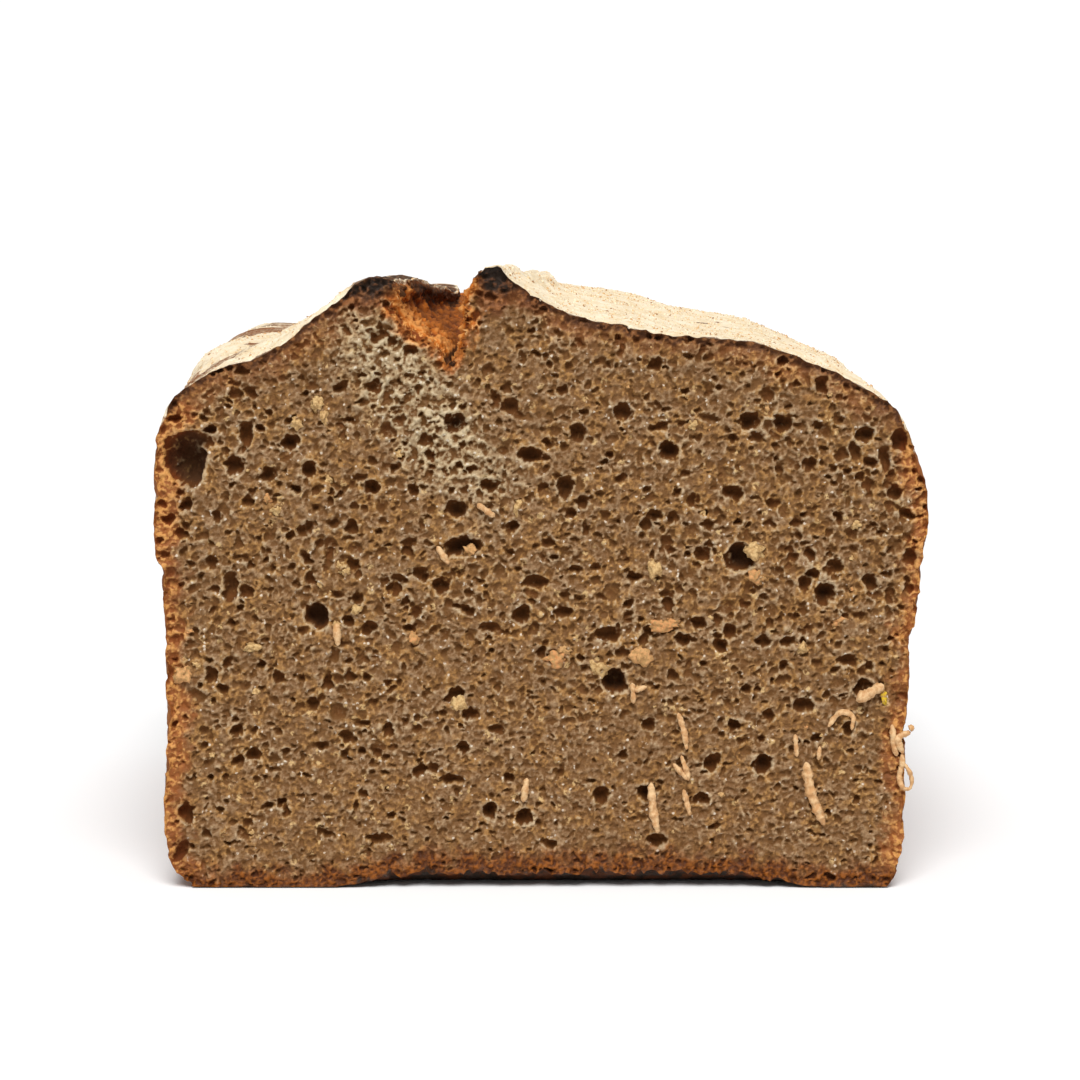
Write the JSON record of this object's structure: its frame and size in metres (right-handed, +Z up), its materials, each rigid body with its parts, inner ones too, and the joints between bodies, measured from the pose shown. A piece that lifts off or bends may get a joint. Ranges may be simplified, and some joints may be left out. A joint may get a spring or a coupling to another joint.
{
  "type": "rye bread half loaf",
  "caption": "Half of a tin-baked rye loaf with a flat porous cut face, a split domed top and a flat base.",
  "frame": {"origin": "middle of the base", "axes": "-Y out of the cut face, +Y towards the heel, +X to the right as the cut face is seen, +Z up"},
  "size_m": [0.1216, 0.118, 0.0979],
  "materials": {
    "bread": "matte, coarse and porous: brown rye crumb inside an orange-brown crust dusted with flour"
  },
  "bodies": {
    "root": {"loaf": "bread"}
  },
  "joints": []
}
